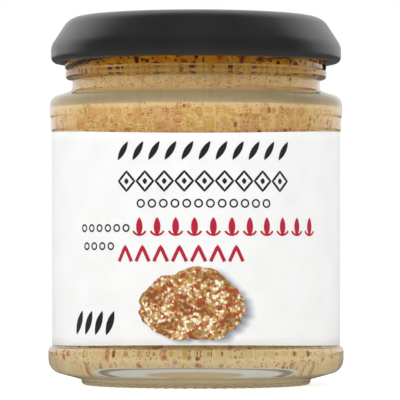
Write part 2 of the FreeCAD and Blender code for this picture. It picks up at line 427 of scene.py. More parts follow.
class Shader(Wiring):
    """A material being made around one Principled shader."""

    def __init__(self, name: str) -> None:
        """Start the material."""
        self.material = bpy.data.materials.new(name)
        self.material.use_nodes = True
        super().__init__(self.material.node_tree)
        self.surface = self.tree.nodes["Principled BSDF"]
        self.output = self.tree.nodes["Material Output"]
        self.place = self.node("ShaderNodeTexCoord").outputs["Object"]

    def set(self, **values: Value) -> None:
        """Set or link inputs of the shader; an underscore stands for a space."""
        for key, value in values.items():
            self.feed(self.surface.inputs[key.replace("_", " ")], value)

    def noise(self, size: float, detail: float = 3.0, roughness: float = 0.5, channel: str = "Fac") -> Socket:
        """Noise whose features are about size millimetres."""
        inputs = {"Scale": 1 / (size * MM), "Detail": detail, "Roughness": roughness, "Vector": self.place}
        return self.node("ShaderNodeTexNoise", inputs).outputs[channel]

    def cells(self, size: float, warp: float = 0.0) -> bpy.types.NodeOutputs:
        """Voronoi cells about size millimetres across, their lattice bent by warp millimetres."""
        place = self.place
        if warp:
            push = {0: self.noise(size * 1.7, channel="Color"), 1: (2 * warp * MM,) * 3, 2: place}
            place = self.node("ShaderNodeVectorMath", push, operation="MULTIPLY_ADD").outputs[0]
        return self.node("ShaderNodeTexVoronoi", {"Scale": 1 / (size * MM), "Vector": place}).outputs

    def red(self, colour: Socket) -> Socket:
        """Red channel of a colour."""
        return self.node("ShaderNodeSeparateColor", {0: colour}).outputs[0]

    def spots(self, size: float, share: float, radius: float, soft: float, warp: float) -> Socket:
        """Scattered round spots.

        Args:
            size: spacing of the spots' lattice, in millimetres.
            share: how many of the lattice's places hold a spot, 0 to 1.
            radius: a spot's radius as a share of the spacing.
            soft: width of its soft rim as a share of the spacing.
            warp: how far the lattice is bent, in millimetres.

        Returns:
            A mask, 1 inside the spots.
        """
        cells = self.cells(size, warp)
        disc = self.spread(cells["Distance"], radius + soft, radius)
        return self.math("MULTIPLY", disc, self.math("LESS_THAN", self.red(cells["Color"]), share))

    def axis(self, name: str) -> Socket:
        """One coordinate of the place, in millimetres."""
        return self.math("DIVIDE", self.node("ShaderNodeSeparateXYZ", {0: self.place}).outputs[name], MM)

    def attribute(self, name: str) -> Socket:
        """A number that the piece keeps for each vertex."""
        return self.node("ShaderNodeAttribute", attribute_name=name).outputs["Fac"]

    def ramp(self, value: Socket, *stops: tuple[float, Colour]) -> Socket:
        """Colour along a ramp of (position, linear colour) stops."""
        node = self.node("ShaderNodeValToRGB", {"Fac": value})
        elements = node.color_ramp.elements
        while len(elements) < len(stops):
            elements.new(1.0)
        for element, (position, colour) in zip(elements, stops):
            element.position = position
            element.color = (*colour, 1.0)
        return node.outputs["Color"]

    def layered(self, base: Value, *layers: tuple[Socket, Value]) -> Socket:
        """Lay colours over a base, in order, each as far as its mask says."""
        for mask, colour in layers:
            node = self.node("ShaderNodeMix", {"Factor": mask}, data_type="RGBA")
            for socket, value in zip([s for s in node.inputs if s.type == "RGBA"], (base, colour)):
                self.feed(socket, value)
            base = next(s for s in node.outputs if s.type == "RGBA")
        return base

    def finished(
        self, colour: Value, rough: tuple[Socket, float, float], relief: tuple[Socket, float] | None = None,
        rough_from: float = 0.7, **values: Value,
    ) -> Material:
        """End the material with what every finish varies.

        Args:
            colour: base colour.
            rough: what the roughness follows, its least and its most.
            relief: height of the surface and its depth in millimetres.
            rough_from: where what it follows brings the roughness to its most.
            **values: further inputs of the shader.

        Returns:
            The material.
        """
        follows, least, most = rough
        self.set(Base_Color=colour, Roughness=self.spread(follows, 0.3, rough_from, least, most), **values)
        if relief:
            raised = {"Height": relief[0], "Distance": relief[1] * MM, "Strength": 1.0}
            self.set(Normal=self.node("ShaderNodeBump", raised).outputs["Normal"])
        return self.material


# ------------------------------------------------------------------ finishes


@dataclass(frozen=True)
class ClearGlass:
    """Flint glass, slightly wavy, its faint green showing where it is thick."""

    ior: float = 1.52
    wave_mm: float = 7.0
    wave_depth_mm: float = 0.02
    depth_colour: Colour = (0.80, 0.85, 0.80)
    density: float = 30.0

    def material(self) -> Material:
        """Make the material; lamps shine straight through it on what the glass holds."""
        shader = Shader("clear_glass")
        clear = shader.node("ShaderNodeBsdfTransparent").outputs[0]
        either = {0: shader.ray("Shadow"), 1: shader.surface.outputs[0], 2: clear}
        shader.feed(shader.output.inputs["Surface"], shader.node("ShaderNodeMixShader", either).outputs[0])
        tint = {"Color": self.depth_colour, "Density": self.density}
        depth = shader.node("ShaderNodeVolumeAbsorption", tint)
        shader.feed(shader.output.inputs["Volume"], depth.outputs[0])
        wavy = (shader.noise(self.wave_mm, detail=1.5), self.wave_depth_mm)
        return shader.finished(
            (1.0, 1.0, 1.0), (shader.noise(3.0), 0.0, 0.03), wavy, rough_from=0.8,
            Transmission_Weight=1.0, IOR=self.ior,
        )


@dataclass(frozen=True)
class MustardPaste:
    """Ground mustard wet against glass: cream and yellow patches, brown hulls, richer in the neck, with a
    painted highlight, painted reflections and a painted shade line.
    """

    pink: Colour = linear(224, 158, 110)
    tan: Colour = linear(226, 178, 106)
    cream: Colour = linear(242, 210, 146)
    yellow: Colour = linear(232, 192, 92)
    hull: Colour = linear(176, 82, 42)
    dark: Colour = linear(126, 56, 26)
    rich: Colour = linear(250, 146, 14)
    rich_gold: Colour = linear(255, 196, 40)
    rich_dark: Colour = linear(132, 40, 2)
    # Painted light: a cream highlight on the paste's rounded corner under the shoulder, and a lift of the
    # neck against the cap's shadow.
    painted_light_cream: Colour = linear(238, 212, 160)
    # Painted reflection: grey on the paste under the shoulder's slope, where the glass there mirrors its
    # surroundings.
    painted_reflection_grey: Colour = linear(178, 162, 130)
    # Painted reflection: the pale ring under the foot; it also makes the paste faintly paler towards the
    # heel.
    pale_ring: Colour = linear(250, 249, 242)
    tan_floor: Colour = linear(232, 210, 168)
    # Painted shade: the thin dark line round the pale ring.
    ring_shade: Colour = linear(140, 118, 80)
    low_cream: Colour = linear(255, 230, 168)
    low_hull: Colour = linear(204, 82, 40)
    neck_z: float = 66.2
    low_z: float = 9.8
    ring_inner_r: float = 27.80
    ring_outer_r: float = 28.2
    # Heights where the painted cream highlight under the shoulder starts and is full.
    highlight_low_z: float = 61.9
    highlight_mid_z: float = 62.8
    # Heights of the painted grey reflection under the shoulder.
    slope_low_z: float = 63.0
    slope_full_z: float = 63.5
    slope_high_z: float = 64.8
    floor_full_z: float = 6.0
    floor_high_z: float = 6.2

    def patches(self, shader: Shader) -> Socket:
        """Paste without hulls: cloudy patches with a pink blush."""
        clouds = shader.ramp(
            shader.noise(2.6, detail=6.0, roughness=0.66),
            (0.30, self.pink), (0.43, self.tan), (0.52, self.cream), (0.60, self.tan), (0.72, self.yellow),
        )
        blush = shader.spread(shader.noise(6.5, detail=2.0), 0.50, 0.66, 0.0, 0.55)
        return shader.layered(clouds, (blush, self.pink))

    def richer(self, shader: Shader) -> Socket:
        """Deep gold of the paste that shows under the cap."""
        return shader.layered(
            shader.ramp(shader.noise(1.9), (0.36, self.rich), (0.62, self.rich_gold)),
            (shader.spots(2.0, 0.55, 0.26, 0.30, warp=0.9), self.rich_dark),
            (shader.spots(1.0, 0.32, 0.22, 0.18, warp=0.4), self.rich_dark),
        )

    def underneath(self, shader: Shader, radius: Socket) -> Socket:
        """Tan floor with a painted pale reflection ring and a thin painted shade line round it."""
        off = shader.math("ABSOLUTE", shader.math("SUBTRACT", radius, self.ring_outer_r))
        return shader.layered(
            self.tan_floor,
            # painted reflection: the pale ring
            (shader.spread(radius, self.ring_inner_r - 0.08, self.ring_inner_r), self.pale_ring),
            # painted shade: the thin line round it
            (shader.spread(off, 0.12, 0.02, 0.0, 0.8), self.ring_shade),
        )

    def material(self) -> Material:
        """Make the material, painted by height and, underneath, by radius."""
        shader = Shader("mustard_paste")
        times = partial(shader.math, "MULTIPLY")
        at = partial(shader.spread, shader.axis("Z"))
        squares = [shader.math("POWER", shader.axis(name), 2.0) for name in "XY"]
        radius = shader.math("POWER", shader.math("ADD", *squares), 0.5)
        patches = self.patches(shader)
        low, top = self.low_z, self.slope_high_z
        low_hulls = times(shader.spots(3.0, 0.6, 0.12, 0.26, warp=1.2), 0.8)
        clusters = shader.spread(shader.noise(3.2), 0.44, 0.60, 0.12, 1.0)
        flecks = times(shader.spots(0.62, 0.6, 0.20, 0.24, warp=0.4), clusters)
        # where the painted grey reflection lies, under the shoulder's slope
        on_slope = times(at(self.slope_low_z, self.slope_full_z), at(top, top - 0.4))
        on_floor = at(self.floor_high_z, self.floor_full_z, 0.0, 0.92)
        on_floor = times(on_floor, shader.spread(radius, self.ring_outer_r + 0.2, self.ring_outer_r + 0.1))
        colour = shader.layered(
            patches,
            # painted highlight: cream on the paste's corner under the shoulder
            (times(at(self.highlight_low_z, self.highlight_mid_z), 0.7), self.painted_light_cream),
            (at(top, top + 0.5), patches),
            # painted light: the neck lifted towards cream against the cap's shadow
            (at(self.neck_z, self.neck_z + 0.8, 0.0, 0.50), self.painted_light_cream),
            (at(low, low - 1.8, 0.0, 0.58), self.low_cream),
            # faintly paler towards the heel
            (at(low - 1.4, low - 3.2, 0.0, 0.14), self.pale_ring),
            (times(low_hulls, at(low, low - 0.6)), self.low_hull),
            (times(shader.spots(1.9, 0.22, 0.16, 0.30, warp=0.7), 0.5), self.hull),
            (times(flecks, 0.8), self.hull),
            (times(shader.spots(0.6, 0.18, 0.16, 0.16, warp=0.4), 0.8), self.dark),
            (at(*RICH_Z), self.richer(shader)),
            # painted reflection: grey under the shoulder's slope
            (times(on_slope, 0.9), self.painted_reflection_grey),
            # underneath: a painted pale reflection ring and a painted shade line
            (on_floor, self.underneath(shader, radius)),
        )
        return shader.finished(
            colour, (shader.noise(0.8), 0.35, 0.6), (shader.noise(0.9, detail=5.0, roughness=0.65), 0.06),
            Subsurface_Weight=0.12, Subsurface_Scale=0.6 * MM, Subsurface_Radius=(1.0, 0.6, 0.3),
            Specular_IOR_Level=0.1,
        )


@dataclass(frozen=True)
class SeedHull:
    """Skin of a whole or broken mustard seed, partly hidden by a film of paste."""

    name: str
    dark: Colour
    middle: Colour
    light: Colour
    rich: Colour
    film: Colour = linear(220, 174, 108)
    filmed: float = 0.45
    roughness: float = 0.38

    def material(self) -> Material:
        """Make the material."""
        shader = Shader(self.name)
        colour = shader.layered(
            shader.ramp(shader.attribute("tint"), (0.0, self.dark), (0.5, self.middle), (1.0, self.light)),
            (shader.spread(shader.noise(0.7), 0.42, 0.66, 0.1, self.filmed * 2), self.film),
            (shader.spread(shader.axis("Z"), *RICH_Z), self.rich),
        )
        rough = (shader.noise(0.3), self.roughness, self.roughness + 0.2)
        return shader.finished(colour, rough, (shader.cells(0.12)["Distance"], 0.01), Specular_IOR_Level=0.1)


@dataclass(frozen=True)
class BlackLacquer:
    """Satin black lacquer over pressed steel."""

    base: Colour = (0.011, 0.0105, 0.0115)
    roughness: float = 0.30
    peel_mm: float = 0.9

    def material(self) -> Material:
        """Make the material."""
        shader = Shader("black_lacquer")
        cloud = shader.noise(9.0, detail=4.0)
        colour = shader.ramp(cloud, (0.3, self.base), (0.7, tuple(1.35 * c for c in self.base)))
        rough = (cloud, self.roughness - 0.03, self.roughness + 0.05)
        return shader.finished(colour, rough, (shader.noise(self.peel_mm, detail=2.0), 0.006), IOR=1.8)


@dataclass(frozen=True)
class CoatedPaper:
    """White coated label paper with a faint fibre."""

    white: Colour = (0.93, 0.93, 0.925)
    shade: Colour = (0.89, 0.89, 0.88)

    def material(self) -> Material:
        """Make the material."""
        shader = Shader("coated_paper")
        fibre = shader.noise(0.35, detail=5.0, roughness=0.7)
        cloud = shader.noise(6.0)
        colour = shader.ramp(shader.math("MULTIPLY", fibre, cloud), (0.12, self.shade), (0.32, self.white))
        return shader.finished(colour, (cloud, 0.42, 0.55), (fibre, 0.01))


@dataclass(frozen=True)
class PrintInk:
    """Flat printing ink with a faint mottle of the press."""

    name: str
    full: Colour
    thin: Colour

    def material(self) -> Material:
        """Make the material."""
        shader = Shader(self.name)
        mottle = shader.noise(0.5, detail=4.0, roughness=0.7)
        colour = shader.ramp(mottle, (0.35, self.full), (0.75, self.thin))
        return shader.finished(colour, (mottle, 0.38, 0.5), (mottle, 0.004))


@dataclass(frozen=True)
class PrintedGrain:
    """Printed spread of grainy mustard: red, gold and cream grains, darker in its folds."""

    red: Colour = linear(176, 66, 34)
    brown: Colour = linear(190, 116, 62)
    gold: Colour = linear(192, 158, 74)
    tan: Colour = linear(226, 178, 112)
    cream: Colour = linear(255, 242, 206)
    fold: Colour = linear(128, 84, 30)
    grain_mm: float = 0.62

    def material(self) -> Material:
        """Make the material."""
        shader = Shader("printed_grain")
        cells = shader.cells(self.grain_mm, warp=0.3)
        folds = shader.noise(4.6)
        picked = shader.math("ADD", shader.red(cells["Color"]), shader.spread(folds, 0.36, 0.66, -0.16, 0.26))
        colour = shader.layered(
            shader.ramp(
                picked,
                (0.22, self.red), (0.38, self.brown), (0.52, self.gold), (0.70, self.tan), (0.92, self.cream),
            ),
            (shader.spread(folds, 0.52, 0.36, 0.0, 0.55), self.fold),
            (shader.spread(cells["Distance"], 0.40, 0.75, 0.0, 0.55), self.fold),
        )
        return shader.finished(colour, (folds, 0.4, 0.52), (cells["Distance"], 0.004))


@dataclass(frozen=True)
class PrintedShade:
    """Printed soft shadow, grey in its middle and bare paper at its edge."""

    grey: Colour = linear(150, 153, 166)
    pale: Colour = linear(156, 159, 170)
    full: float = 0.75

    def material(self) -> Material:
        """Make the material."""
        shader = Shader("printed_shade")
        mottle = shader.noise(0.5)
        fade = shader.spread(shader.attribute("away"), 1.0, 0.62, 0.0, self.full)
        colour = shader.ramp(mottle, (0.3, self.grey), (0.7, self.pale))
        return shader.finished(colour, (mottle, 0.42, 0.52), Alpha=fade)


def dressed(piece: Piece, material: Material) -> Piece:
    """Give a piece one material."""
    piece.data.materials.clear()
    piece.data.materials.append(material)
    return piece


# ------------------------------------------------------------------ node trees that repeat shapes


class Tree(Wiring):
    """A Geometry Nodes tree being made, with named inputs."""

    def __init__(self, name: str, **kinds: str) -> None:
        """Start a tree that takes and gives geometry, with further inputs of these kinds."""
        super().__init__(bpy.data.node_groups.new(name, "GeometryNodeTree"))
        add = self.tree.interface.new_socket
        self.sockets = {
            key: add(name=key, in_out="INPUT", socket_type="NodeSocket" + kind).identifier
            for key, kind in {"Geometry": "Geometry", **kinds}.items()
        }
        add(name="Geometry", in_out="OUTPUT", socket_type="NodeSocketGeometry")
        self.given = self.node("NodeGroupInput").outputs
        self.output = self.node("NodeGroupOutput").inputs["Geometry"]

    def finish(self, geometry: Socket, material: Material) -> None:
        """End the tree in Realize Instances and Set Material."""
        real = self.node("GeometryNodeRealizeInstances", {"Geometry": geometry}).outputs[0]
        named = self.node("GeometryNodeSetMaterial", {"Geometry": real, "Material": material})
        self.feed(self.output, named.outputs["Geometry"])

    def grown(self, name: str, base: Piece, **values: object) -> Piece:
        """Run the tree on a base and keep the result as a plain mesh.

        Args:
            name: the new piece's name.
            base: the object whose mesh goes in.
            **values: value of each named input.

        Returns:
            A new object at the origin that holds the result.
        """
        carrier = linked(name + "_carrier", base.data.copy())
        modifier = carrier.modifiers.new("grow", "NODES")
        modifier.node_group = self.tree
        for key, value in values.items():
            modifier[self.sockets[key]] = value
        mesh = evaluated(carrier)
        mesh.name = name
        bpy.data.objects.remove(carrier)
        return linked(name, mesh)


def scatter_tree(material: Material) -> Tree:
    """Tree that sets small shapes into a surface, unevenly sized and turned.

    Args:
        material: finish of the scattered shapes.

    Returns:
        The tree, with inputs Shape, Spacing, Amount, Small, Large, Sink and Seed.
    """
    numbers = dict.fromkeys(("Spacing", "Amount", "Small", "Large", "Sink"), "Float")
    tree = Tree("scatter", Shape="Object", **numbers, Seed="Int")
    given = tree.given
    wanted = tree.node("GeometryNodeInputNamedAttribute", {"Name": "amount"}, data_type="FLOAT")
    spots = tree.node(
        "GeometryNodeDistributePointsOnFaces",
        {
            "Mesh": given["Geometry"],
            "Distance Min": given["Spacing"],
            "Density Max": given["Amount"],
            "Density Factor": wanted.outputs["Attribute"],
            "Seed": given["Seed"],
        },
        distribute_method="POISSON",
    )
    limits = {"Seed": 11, 2: given["Small"], 3: given["Large"]}
    size = tree.node("FunctionNodeRandomValue", limits, data_type="FLOAT").outputs[1]
    depth = tree.math("MULTIPLY", tree.math("MULTIPLY", size, given["Sink"]), -1.0)
    inwards = {0: spots.outputs["Normal"], "Scale": depth}
    offset = tree.node("ShaderNodeVectorMath", inwards, operation="SCALE").outputs["Vector"]
    sunk = tree.node("GeometryNodeSetPosition", {"Geometry": spots.outputs["Points"], "Offset": offset})
    tinted = tree.node(
        "GeometryNodeStoreNamedAttribute", {"Geometry": sunk.outputs["Geometry"], "Name": "tint"},
        data_type="FLOAT", domain="POINT",
    )
    tint = tree.node("FunctionNodeRandomValue", {"Seed": 5}, data_type="FLOAT").outputs[1]
    tree.feed(next(s for s in tinted.inputs if s.name == "Value" and s.enabled), tint)
    spin = tree.node("FunctionNodeRandomValue", {"Seed": 3, 1: (TURN,) * 3}, data_type="FLOAT_VECTOR")
    shape = tree.node("GeometryNodeObjectInfo", {"Object": given["Shape"]})
    placed = tree.node("GeometryNodeInstanceOnPoints", {
        "Points": tinted.outputs["Geometry"],
        "Instance": shape.outputs["Geometry"],
        "Rotation": spin.outputs[0],
        "Scale": size,
    })
    tree.finish(placed.outputs["Instances"], material)
    return tree


def row_tree(material: Material) -> Tree:
    """Tree that lays a row of flat shapes side by side and wraps it round the label.

    Args:
        material: finish of the shapes.

    Returns:
        The tree, with inputs Count, Pitch, Middle, Height, Radius and Flip.
    """
    numbers = dict.fromkeys(("Pitch", "Middle", "Height", "Radius", "Flip"), "Float")
    tree = Tree("row", Count="Int", **numbers)
    given, maths = tree.given, tree.math
    step = tree.node("ShaderNodeCombineXYZ", {"X": given["Pitch"]})
    line = tree.node("GeometryNodeMeshLine", {"Count": given["Count"], "Offset": step.outputs[0]})
    odd = maths("MODULO", tree.node("GeometryNodeInputIndex").outputs[0], 2.0)
    turn = tree.node("ShaderNodeCombineXYZ", {"Y": maths("MULTIPLY", odd, given["Flip"])})
    placed = tree.node(
        "GeometryNodeInstanceOnPoints",
        {"Points": line.outputs["Mesh"], "Instance": given["Geometry"], "Rotation": turn.outputs[0]},
    )
    real = tree.node("GeometryNodeRealizeInstances", {"Geometry": placed.outputs["Instances"]})
    here = tree.node("ShaderNodeSeparateXYZ", {0: tree.node("GeometryNodeInputPosition").outputs[0]}).outputs
    span = maths("MULTIPLY", maths("SUBTRACT", given["Count"], 1.0), given["Pitch"])
    start = maths("SUBTRACT", given["Middle"], maths("MULTIPLY", span, 0.5))
    angle = maths("DIVIDE", maths("ADD", here["X"], start), given["Radius"])
    out = maths("SUBTRACT", given["Radius"], here["Y"])
    wrapped = tree.node("ShaderNodeCombineXYZ", {
        "X": maths("MULTIPLY", out, maths("SINE", angle)),
        "Y": maths("MULTIPLY", out, maths("MULTIPLY", maths("COSINE", angle), -1.0)),
        "Z": maths("ADD", here["Z"], given["Height"]),
    })
    bent = {"Geometry": real.outputs["Geometry"], "Position": wrapped.outputs["Vector"]}
    tree.finish(tree.node("GeometryNodeSetPosition", bent).outputs["Geometry"], material)
    return tree


# ------------------------------------------------------------------ glass


@dataclass
class GlassJar:
    """The jar: foot, heel, label panel, shoulder, neck, bead, threads and mouth."""

    sizes: JarSizes
    steps: int = 432
    thread_starts: int = 4
    thread_r: float = 1.1
    thread_proud: float = 1.15
    thread_sweep: float = 80.0
    thread_rise: float = 3.9
    thread_above_bead: float = 0.75
    thread_phase: float = 186.0
    stipples: int = 72
    stipple_depth: float = 0.34
    seam_height: float = 0.05
    unevenness: float = 0.018
    floor_thickness: float = 4.8
    floor_crown: float = 1.1
    shoulder_wall: float = 2.7
    punt_rise: float = 1.9
    ring_width: float = 2.3
    punt_r: float = 16.0
    seam_width: float = 0.22
    fine_run: float = 0.3
    coarse_run: float = 3.0

    def outside(self) -> list[Corner]:
        """Corners of the outside, from the middle of the base up to the rim."""
        s = self.sizes
        foot_r = s.panel_r - s.foot_inset
        heel_corner = s.panel_base - s.step - s.heel_height
        band_r = s.panel_r + s.band_proud
        bead_r = s.finish_r + s.bead_proud
        return [
            (0, self.punt_rise, 0),
            (self.punt_r, self.punt_rise, 8.0),
            (foot_r - self.ring_width, 0, 0.5),
            (foot_r, 0, 0.9),
            (foot_r, heel_corner - s.heel_slope_rise, 0.3),
            (s.heel_r, heel_corner, 3.4),
            (s.heel_r, s.panel_base - s.step, 1.3),
            (s.panel_r, s.panel_base, 0.3),
            (s.panel_r, s.panel_top, 0.3),
            (band_r, s.panel_top + s.step, 0.3),
            (band_r, s.panel_top + s.step + s.band_height, 0.3),
            (s.shoulder_r, s.shoulder_top - s.shoulder_height, 0.3),
            (s.shoulder_r, s.shoulder_top, 2.2),
            (s.neck_r, s.neck_base, 1.5),
            (s.neck_r, s.neck_top, 0.3),
            (bead_r, s.neck_top + s.step, 0.7),
            (bead_r, s.bead_top - s.step, 0.4),
            (s.finish_r, s.bead_top, 0.3),
            (s.finish_r, s.rim_z, 2.2),
            (s.bore_r + 1.0, s.rim_z, 0),
        ]

    def inside(self, drawn_out: float = 0.0, top_z: float | None = None) -> list[Corner]:
        """Corners of the inside, from the mouth down to the middle of the floor.

        Args:
            drawn_out: how far the outline is moved into the glass.
            top_z: height of the upper end, the rim if not given.

        Returns:
            The corners as (radius, height, rounding).
        """
        s = self.sizes
        top = s.rim_z - 1.0 if top_z is None else top_z
        slope = s.shoulder_rise / (s.shoulder_r - s.neck_r)
        at_cavity = s.neck_base - (s.cavity_r - s.neck_r) * slope - self.shoulder_wall
        at_bore = s.neck_base + (s.neck_r - s.bore_r) * slope - self.shoulder_wall
        return [
            (s.bore_r + drawn_out, top, 0),
            (s.bore_r + drawn_out, at_bore + drawn_out, 1.4 - drawn_out),
            (s.cavity_r + drawn_out, at_cavity + drawn_out, 1.6 + drawn_out),
            (s.cavity_r + drawn_out, self.floor_thickness - drawn_out, 3.4 + drawn_out),
            (0, self.floor_thickness + self.floor_crown - drawn_out, 0),
        ]

    def thread(self, theta: Field, r: Field, z: Field) -> Field:
        """Radius of the outside with its threads standing on it."""
        s = self.sizes
        rise_per_radian = self.thread_rise / math.radians(self.thread_sweep)
        crest_r = s.finish_r + self.thread_proud
        axis_r = crest_r - self.thread_r
        best = r.copy()
        for start in range(self.thread_starts):
            begin = math.radians(self.thread_phase + start * 360 / self.thread_starts)
            middle = begin + math.radians(self.thread_sweep / 2)
            away = angle_apart(theta, middle)
            half = math.radians(self.thread_sweep / 2)
            past = np.maximum(np.abs(away) - half, 0) * axis_r
            held = np.clip(away, -half, half)
            axis_z = s.bead_top + self.thread_above_bead + self.thread_rise / 2 + held * rise_per_radian
            squared = self.thread_r**2 - (z - axis_z) ** 2 - past**2
            ridge = axis_r + np.sqrt(np.maximum(squared, 0))
            best = np.where(squared > 0, np.maximum(best, ridge), best)
        return best

    def shape(self, theta: Field, r: Field, z: Field) -> tuple[Field, Field]:
        """Add threads, stippled foot, mould seams and slight unevenness to the turned outline."""
        s = self.sizes
        outer = np.zeros_like(r)
        outer[: self.outer_count] = 1.0
        on_finish = (outer > 0) & (z > s.bead_top - 0.2) & (z < s.rim_z - 2.5)
        r = np.where(on_finish, self.thread(theta, r, z), r)
        on_wall = outer * smooth_step(z, 2.5, 6.0) * (1 - smooth_step(z, s.neck_top - 1.0, s.neck_top))
        r = r - on_wall * self.unevenness * (1 + waves(theta, z, seed=4))
        seam = np.exp(-((angle_apart(2 * theta, 0.0) / 2 * r / self.seam_width) ** 2))
        r = r - on_wall * self.seam_height * (1 - seam)
        ring_mid = s.panel_r - s.foot_inset - self.ring_width / 2
        on_ring = outer * np.exp(-(((r - ring_mid) / 1.0) ** 4)) * (1 - smooth_step(z, 0.5, 1.2))
        scallop = 0.5 - 0.5 * np.cos(self.stipples * theta + 0.6 * np.sin(3 * theta))
        z = z + on_ring * self.stipple_depth * scallop**1.5
        return r, z

    def build(self) -> Piece:
        """Make the jar as one closed piece of glass."""
        s = self.sizes

        def longest(r: float, z: float) -> float:
            """Longest run of the outline: short at the threads and at the foot's ring."""
            at_threads = s.bead_top - 0.4 < z < s.bead_top + 7
            at_ring = z < 1.3 and r > 22
            return self.fine_run if at_threads or at_ring else self.coarse_run

        outside = densified(rounded_outline(self.outside()), longest)
        inside = densified(rounded_outline(self.inside()), lambda r, z: 4.0)
        self.outer_count = len(outside)
        return dressed(turned("jar_glass", outside + inside, self.steps, self.shape), ClearGlass().material())


# ------------------------------------------------------------------ mustard


class GrainKind(Enum):
    """Kinds of grain in the mustard."""

    BROWN_SEED = "seeds_brown"
    YELLOW_SEED = "seeds_yellow"
    HULL_FLECK = "hull_flecks"


@dataclass(frozen=True)
class Grain:
    """How one kind of grain is strewn: its size, spread, finish and slot."""

    kind: GrainKind
    slot: str
    spacing: float
    amount: float
    small: float
    large: float
    sink: float
    seed: int
    flatness: tuple[float, float, float]
    finish: SeedHull
    detail: int = 2


@dataclass
class MustardFill:
    """The mustard: a creamy core with whole seeds and broken hulls set in its surface."""

    sizes: JarSizes
    jar: GlassJar
    reach: float = 0.12
    proud: float = 0.03
    steps: int = 300
    grains: tuple[Grain, ...] = (
        Grain(
            GrainKind.BROWN_SEED, "seed_red", 1.5, 0.26, 0.45, 0.80, 0.45, 21, (1.0, 0.92, 0.86),
            SeedHull(
                "brown_seed", linear(122, 44, 18), linear(166, 80, 42), linear(196, 116, 70),
                linear(118, 38, 6),
            ),
        ),
        Grain(
            GrainKind.YELLOW_SEED, "seed_yellow", 2.0, 0.14, 0.60, 0.95, 0.50, 8, (1.0, 0.95, 0.92),
            SeedHull(
                "yellow_seed", linear(200, 146, 40), linear(222, 178, 74), linear(238, 206, 118),
                linear(224, 158, 34),
            ),
        ),
        Grain(
            GrainKind.HULL_FLECK, "bran", 0.7, 0.55, 0.14, 0.36, 0.20, 33, (1.0, 0.62, 0.42),
            SeedHull(
                "hull_fleck", linear(116, 46, 22), linear(162, 82, 44), linear(194, 118, 72),
                linear(120, 42, 8),
            ),
            1,
        ),
    )

    def core(self) -> Piece:
        """Make the creamy core, which reaches just into the wall of the glass."""
        s = self.sizes
        corners = self.jar.inside(self.reach, s.fill_z)
        top = [(0.0, s.fill_z, 0.0), (s.bore_r - 1.2, s.fill_z - 0.5, 3.0)]
        outline = densified(rounded_outline(top + corners), lambda r, z: 1.0)
        side = [(r, z) for r, z in outline if r > s.bore_r - 0.6][::-1]
        self.wall_r = np.array([r for r, _ in side]) * MM
        self.wall_z = np.array([z for _, z in side]) * MM

        def shape(theta: Field, r: Field, z: Field) -> tuple[Field, Field]:
            """Stir the top a little; the sides stay in the wall."""
            on_top = smooth_step(z, s.fill_z - 0.9, s.fill_z - 0.2)
            on_top *= 1 - smooth_step(r, s.bore_r - 2, s.bore_r)
            swirl = np.sin(3 * theta + r * 0.45) * 0.25 + waves(theta, r, seed=9) * 0.15
            return r, z + on_top * (swirl - 0.45)

        return dressed(turned("mustard_core", outline, self.steps, shape), MustardPaste().material())

    def amounts(self, core: Piece) -> None:
        """Note how thickly grains lie: most under the cap, none on top, underneath or behind the label."""
        s = self.sizes
        x, y, z = positions(core).T / MM
        r = np.hypot(x, y)
        under_cap = smooth_step(z, s.bead_top - 1.0, s.bead_top + 0.5)
        low = smooth_step(z, s.panel_base + 1.5, s.panel_base - 0.5)
        paste = MustardPaste()
        on_slope = smooth_step(z, paste.highlight_low_z, paste.slope_low_z)
        on_slope *= smooth_step(z, paste.slope_high_z + 0.8, paste.slope_high_z)
        bare = np.maximum(on_slope, smooth_step(z, paste.floor_high_z + 0.9, paste.floor_high_z + 0.2))
        at_side = smooth_step(r, s.bore_r - 2.5, s.bore_r - 0.5)
        at_side *= 1 - smooth_step(z, s.fill_z - 1.4, s.fill_z - 0.7)
        in_band = smooth_step(z, s.panel_base + 2.5, s.panel_base + 4.0)
        in_band *= smooth_step(z, s.panel_top, s.panel_top - 2.5)
        off_gap = smooth_step(np.abs(angle_apart(np.arctan2(y, x), math.pi / 2)), 0.25, 0.4)
        amount = at_side * (0.30 + 0.70 * under_cap + 0.35 * low) * (1 - in_band * off_gap) * (1 - bare)
        note(core, "amount", amount)

    def grain_shape(self, grain: Grain) -> Piece:
        """Make one grain of a kind, about 1 mm in radius, slightly uneven."""
        bm = bmesh.new()
        bmesh.ops.create_icosphere(bm, subdivisions=grain.detail, radius=MM)
        rng = np.random.default_rng(grain.seed)
        for vertex in bm.verts:
            vertex.co *= 1 + rng.uniform(-0.06, 0.06)
            vertex.co = Vector(c * f for c, f in zip(vertex.co, grain.flatness))
        mesh = bpy.data.meshes.new(grain.kind.value + "_shape")
        bm.to_mesh(mesh)
        bm.free()
        mesh.shade_smooth()
        return bpy.data.objects.new(mesh.name, mesh)

    def strew(self, core: Piece, grain: Grain) -> Piece:
        """Set one kind of grain into the core's surface.

        Args:
            core: the mustard's core, with its amount attribute.
            grain: the kind to strew.

        Returns:
            All grains of that kind as one mesh.
        """
        shape = self.grain_shape(grain)
        tree = scatter_tree(grain.finish.material())
        return self.pressed_flat(tree.grown(
            grain.kind.value, core, Shape=shape, Spacing=grain.spacing * MM, Amount=grain.amount / MM**2,
            Small=grain.small, Large=grain.large, Sink=grain.sink * MM, Seed=grain.seed,
        ))

    def pressed_flat(self, piece: Piece) -> Piece:
        """Flatten the grains against the inside of the glass, which they touch but don't enter."""
        points = positions(piece)
        r = np.hypot(points[:, 0], points[:, 1])
        wall = np.interp(points[:, 2], self.wall_z, self.wall_r)
        shrink = np.minimum(1.0, (wall + self.proud * MM) / r)
        points[:, :2] *= shrink[:, None]
        piece.data.vertices.foreach_set("co", points.reshape(-1))
        piece.data.update()
        return piece

    def build(self) -> list[tuple[Piece, str]]:
        """Make core and grains, each with its slot."""
        core = self.core()
        self.amounts(core)
        return [(core, "mustard"), *((self.strew(core, grain), grain.slot) for grain in self.grains)]


# ------------------------------------------------------------------ cap


